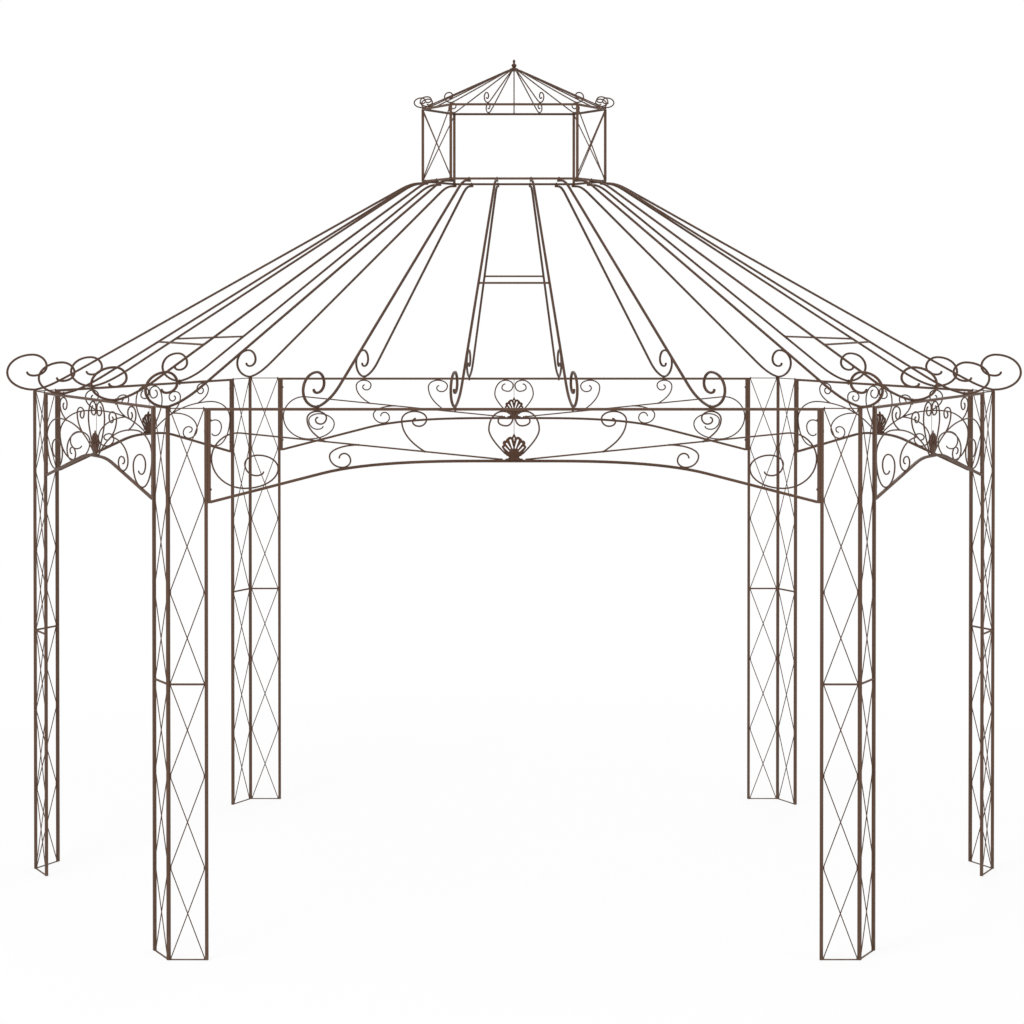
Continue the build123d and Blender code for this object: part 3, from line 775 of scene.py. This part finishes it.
for face in faces:
    left, right = ends_of(face, corners)
    head_left, head_right = ends_of(face, lantern_corners)
    if face in long_faces:
        foot_shares = [0.5 + sign * ladder_foot_half / front_span for sign in (-1, 1)]
        head_shares = [0.5 + sign * lantern_ladder_half / lantern_front for sign in (-1, 1)]
        rung_rise = rung_rises[face]
    else:
        foot_shares = from_long_side(face, ladder_foot_shares)
        head_shares = from_long_side(face, ladder_head_shares)
        rung_rise = rung_rises["side"]
    lump = Lump()
    ends = []
    for foot_share, head_share in zip(foot_shares, head_shares):
        foot, head = between(left, right, foot_share), between(head_left, head_right, head_share)
        sheet, run, rise = rib(lump, head, foot, rib_scroll, True)
        up = (rung_rise - heel_rise) / (rise - heel_rise)
        inward = heel_run + up * (run - heel_run - rib_flat)
        ends.append(between(foot, head, inward / run))
    rung = Sheet(ends[0], heading(*ends), post_height + rib_size / 2 + rung_rise)
    length = distance(*ends)
    lump.sweep(rung, [(0, 0), (length, 0)], round_section(ladder_rung_size / 2, sides=12))
    for u in (rib_width / 2, length - rib_width / 2):
        lump.bead(rung.at(u, 0), rung.along, *rung_bead)
    piece(f"rib_ladder_{face}", lump, iron, "painted_iron", f"roof_ladder_{face}")

for face in long_faces:
    left, right = ends_of(face, corners)
    head_left, head_right = ends_of(face, lantern_corners)
    for side, word in ((-1, "left"), (1, "right")):
        lump = Lump()
        foot = between(left, right, 0.5 + side * single_foot / front_span)
        head = between(head_left, head_right, 0.5 + side * lantern_single / lantern_front)
        rib(lump, head, foot, rib_scroll, True)
        piece(f"scrolled_rib_{face}_{word}_single", lump, iron, "painted_iron", f"single_rib_{face}_{word}")


# Lantern
def lantern_ring(name, level):
    """Six-sided ring of square bar."""
    lump = Lump()
    outline = list(lantern_corners.values())
    section = square_section(lantern_bar, lantern_bar, ring_edge)
    middle = level + lantern_bar / 2
    rings = []
    for i, here in enumerate(outline):
        into = heading(outline[i - 1], here)
        out = heading(here, outline[(i + 1) % len(outline)])
        mid = (into[0] + out[0], into[1] + out[1])
        mitre = 2 / (mid[0] ** 2 + mid[1] ** 2)
        side = (mid[1] * mitre, -mid[0] * mitre)
        x, y = here
        rings.append([Vector((x + a * side[0], y + a * side[1], middle + b)) for a, b in section])
    lump.skin(rings, closed=True)
    piece(f"square_{name}", lump, iron, "painted_iron", name)


lantern_ring("lantern_base_ring", lantern_ring_height)
lantern_ring("lantern_top_ring", lantern_ring_height + lantern_bar + lantern_height)
base = lantern_ring_height + lantern_bar
post_section = square_section(lantern_post, lantern_post, lantern_post_edge)
lantern_ends = {
    "left": ("front_left", "left", "back_left"),
    "right": ("back_right", "right", "front_right"),
}
for word, ends in lantern_ends.items():
    lump = Lump()
    for name in ends:
        sheet = Sheet(lantern_corners[name], (1, 0), base)
        lump.sweep(sheet, [(0, 0), (0, lantern_height)], post_section)
        for v in (0.0, lantern_height):
            lump.bead(sheet.at(0, v), sheet.up, *lantern_post_bead)
    for first, second in zip(ends, ends[1:]):
        start, end = lantern_corners[first], lantern_corners[second]
        sheet = Sheet(start, heading(start, end), base)
        length = distance(start, end)
        wire = round_section(lantern_wire / 2)
        low, high = lantern_wire / 2, lantern_height - lantern_wire / 2
        for rows, shift in (((low, high), brace_shift), ((high, low), -brace_shift)):
            lump.sweep(sheet, [(brace_inset, rows[0]), (length - brace_inset, rows[1])], wire, shift)
        lump.bead(sheet.at(length / 2, lantern_height / 2), sheet.out, *brace_bead)
    piece(f"braced_lantern_{word}_side", lump, iron, "painted_iron", f"lantern_{word}_side")

crown_foot = lantern_ring_height + 2 * lantern_bar + lantern_height + crown_wire / 2
crown_section = round_section(crown_radius)


def crown_rib(lump, foot, scrolled):
    """Thin rib of the lantern's roof, from the collar down to the ring."""
    run = hypot(*foot)
    sheet = Sheet((0, 0), foot, crown_foot)
    path = [(crown_start, crown_height), (crown_flat, crown_height)]
    path += [(run - x * crown_heel_run, y * crown_heel_rise) for x, y in heel_shares]
    path = eased(path + [(run - rib_seat / 2, 0), (run, 0)], crown_bend)
    if scrolled:
        path += scroll(placed(rib_scroll_shares, (run + rib_seat / 2, 0), *crown_scroll), True, chords=8)
    else:
        path.append((run + rib_seat / 2 - crown_tip, 0))
    lump.sweep(sheet, path, crown_section, tip=crown_tip)
    lump.bead(sheet.at(run, -crown_bead_drop), sheet.along, *crown_bead)


crown = Lump()
for corner in lantern_corners.values():
    crown_rib(crown, corner, True)
for face in faces:
    left, right = ends_of(face, lantern_corners)
    if face in long_faces:
        crown_rib(crown, between(left, right, 0.5), False)
        reach = crown_front_rib / lantern_front
        shares = (0.5 - reach, 0.5 + reach)
    else:
        shares = from_long_side(face, crown_side_shares)
    for share in shares:
        crown_rib(crown, between(left, right, share), True)
top = crown_foot + crown_height
collar = [(r * collar_radius, h * collar_height) for r, h in collar_shares]
crown.lathe(Vector((0, 0, top)), (0, 0, 1), collar, turned_sides)
piece("scrolled_lantern_crown", crown, iron, "painted_iron", "lantern_crown")

knob = Lump()
knob.lathe(Vector((0, 0, top + collar_height / 2)), (0, 0, 1), finial_profile, turned_sides)
piece("turned_finial", knob, casting, "painted_casting", "finial")


# Stage
def backdrop_white(nodes, links):
    """Share of rays that see the plain white background."""
    light_path = nodes.new("ShaderNodeLightPath")
    total = light_path.outputs["Is Camera Ray"]
    for name in ("Is Glossy Ray", "Is Transmission Ray"):
        either = nodes.new("ShaderNodeMath")
        either.operation = "MAXIMUM"
        links.new(total, either.inputs[0])
        links.new(light_path.outputs[name], either.inputs[1])
        total = either.outputs["Value"]
    return total


floor_mesh = bpy.data.meshes.new("floor")
floor_half = 60
floor_points = [(x * floor_half, y * floor_half, 0) for x, y in ((-1, -1), (1, -1), (1, 1), (-1, 1))]
floor_mesh.from_pydata(floor_points, [], [(0, 1, 2, 3)])
floor = bpy.data.objects.new("floor", floor_mesh)
bpy.context.scene.collection.objects.link(floor)
pale = bpy.data.materials.new("pale_floor")
pale.use_nodes = True
nodes, links = pale.node_tree.nodes, pale.node_tree.links
nodes.remove(nodes["Principled BSDF"])
matte = nodes.new("ShaderNodeBsdfDiffuse")
matte.inputs["Color"].default_value = (0.93, 0.93, 0.93, 1)
white = nodes.new("ShaderNodeEmission")
place = nodes.new("ShaderNodeTexCoord")
reach = nodes.new("ShaderNodeVectorMath")
reach.operation = "LENGTH"
links.new(place.outputs["Object"], reach.inputs[0])
fade = nodes.new("ShaderNodeMapRange")
fade.interpolation_type = "SMOOTHSTEP"
for key, value in (("From Min", 2.2), ("From Max", 5.0), ("To Min", 0.85), ("To Max", 1.0)):
    fade.inputs[key].default_value = value
links.new(reach.outputs["Value"], fade.inputs["Value"])
seen = nodes.new("ShaderNodeMath")
seen.operation = "MULTIPLY"
links.new(fade.outputs["Result"], seen.inputs[0])
links.new(backdrop_white(nodes, links), seen.inputs[1])
blend = nodes.new("ShaderNodeMixShader")
links.new(seen.outputs["Value"], blend.inputs["Fac"])
links.new(matte.outputs["BSDF"], blend.inputs[1])
links.new(white.outputs["Emission"], blend.inputs[2])
links.new(blend.outputs["Shader"], nodes["Material Output"].inputs["Surface"])
floor_mesh.materials.append(pale)

world = bpy.data.worlds.new("studio")
bpy.context.scene.world = world
world.use_nodes = True
nodes, links = world.node_tree.nodes, world.node_tree.links
soft = nodes["Background"]
soft.inputs["Color"].default_value = (1, 1, 1, 1)
soft.inputs["Strength"].default_value = 0.62
plain = nodes.new("ShaderNodeBackground")
plain.inputs["Color"].default_value = (1, 1, 1, 1)
plain.inputs["Strength"].default_value = 1.0
blend = nodes.new("ShaderNodeMixShader")
links.new(backdrop_white(nodes, links), blend.inputs["Fac"])
links.new(soft.outputs["Background"], blend.inputs[1])
links.new(plain.outputs["Background"], blend.inputs[2])
links.new(blend.outputs["Shader"], nodes["World Output"].inputs["Surface"])


def lamp(name, at, target, size, power):
    """Round area lamp that faces a point."""
    data = bpy.data.lights.new(name, "AREA")
    data.shape = "DISK"
    data.size = size
    data.energy = power
    obj = bpy.data.objects.new(name, data)
    obj.location = at
    obj.rotation_euler = (Vector(target) - Vector(at)).to_track_quat("-Z", "Y").to_euler()
    bpy.context.scene.collection.objects.link(obj)


lamp("key", at=(-5.0, -6.5, 7.5), target=(0, 0, 1.5), size=5.0, power=420)
lamp("fill", at=(6.5, -5.0, 4.0), target=(0, 0, 1.5), size=5.0, power=140)
lamp("rear", at=(2.0, 7.0, 6.5), target=(0, 0, 1.8), size=5.0, power=180)

camera_data = bpy.data.cameras.new("camera")
camera_data.sensor_width = 36
camera_data.sensor_fit = "HORIZONTAL"
camera_data.lens = 81.18
camera_data.shift_x = -0.002
camera_data.shift_y = -0.2
camera_data.clip_end = 200
camera = bpy.data.objects.new("camera", camera_data)
camera.location = (0, -9.629, 2.46)
camera_dip = 0.0116
camera.rotation_euler = (pi / 2 - camera_dip, 0, 0)
bpy.context.scene.collection.objects.link(camera)
bpy.context.scene.camera = camera
bpy.context.scene.view_settings.view_transform = "Standard"
